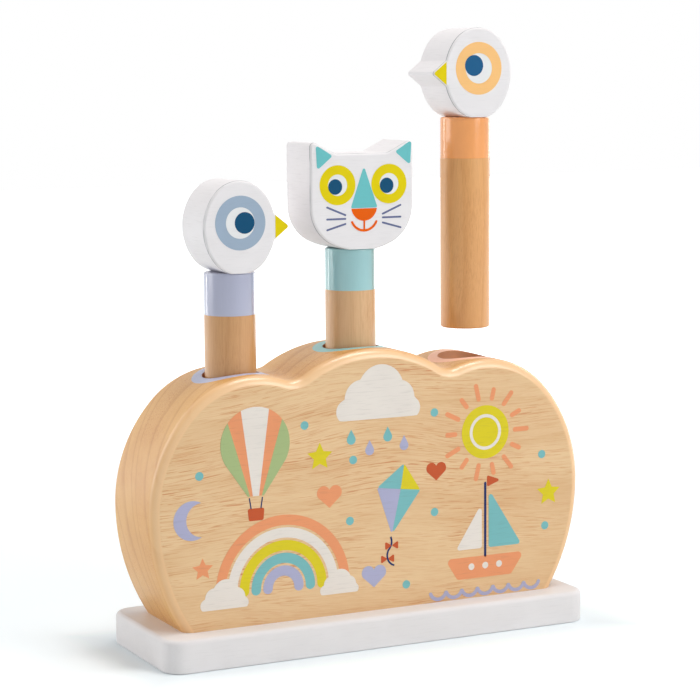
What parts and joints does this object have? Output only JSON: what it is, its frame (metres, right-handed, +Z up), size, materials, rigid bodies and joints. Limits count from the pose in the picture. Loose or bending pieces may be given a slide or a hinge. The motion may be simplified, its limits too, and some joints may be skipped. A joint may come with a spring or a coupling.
{
  "type": "pop-up animal toy",
  "caption": "Wooden toddler toy: a cloud-shaped block on a base plate, with sprung pegs that carry flat animal heads and pop up when pressed.",
  "frame": {"origin": "centre of the base plate's underside", "axes": "+X along the block, to the right as seen from the front; the front with the beaks in profile faces -Y; +Z up along the pegs"},
  "size_m": [0.235, 0.078, 0.3007],
  "materials": {
    "white_paint": "satin white paint",
    "block_wood": "clear-lacquered hardwood",
    "peg_wood": "clear-lacquered dowel",
    "spring_steel": "drawn wire",
    "screw_steel": "zinc plated"
  },
  "bodies": {
    "root": {"base_plate": "white_paint", "body_block": "block_wood", "base_screws": "screw_steel", "spring_washer_left": "screw_steel", "spring_washer_middle": "screw_steel", "spring_washer_right": "screw_steel", "spring_screw_left": "screw_steel", "spring_screw_middle": "screw_steel", "spring_screw_right": "screw_steel"},
    "follower_left": {"spring_left": "spring_steel"},
    "follower_middle": {"spring_middle": "spring_steel"},
    "follower_right": {"spring_right": "spring_steel"},
    "plunger_left": {"peg_left": "peg_wood", "neck_pin_left": "peg_wood", "head_left_bird": "white_paint"},
    "plunger_middle": {"peg_middle": "peg_wood", "neck_pin_middle": "peg_wood", "head_middle_cat": "white_paint"},
    "plunger_right": {"peg_right": "peg_wood", "neck_pin_right": "peg_wood", "head_right_bird": "white_paint"}
  },
  "joints": [
    {"name": "press_left", "type": "slide", "parent": "root", "child": "follower_left", "axis": [0, 0, 1], "range_m": [-0.032, 0], "stiffness_N_per_m": 300, "springref_m": 0.002, "deforming": ["spring_left"]},
    {"name": "press_middle", "type": "slide", "parent": "root", "child": "follower_middle", "axis": [0, 0, 1], "range_m": [-0.032, 0], "stiffness_N_per_m": 300, "springref_m": 0.002, "deforming": ["spring_middle"]},
    {"name": "press_right", "type": "slide", "parent": "root", "child": "follower_right", "axis": [0, 0, 1], "range_m": [-0.032, 0], "stiffness_N_per_m": 300, "springref_m": 0.002, "deforming": ["spring_right"]},
    {"name": "lift_left", "type": "slide", "parent": "follower_left", "child": "plunger_left", "axis": [0, 0, 1], "range_m": [0, 0.072]},
    {"name": "lift_middle", "type": "slide", "parent": "follower_middle", "child": "plunger_middle", "axis": [0, 0, 1], "range_m": [0, 0.072]},
    {"name": "lift_right", "type": "slide", "parent": "follower_right", "child": "plunger_right", "axis": [0, 0, 1], "range_m": [-0.072, 0]}
  ]
}
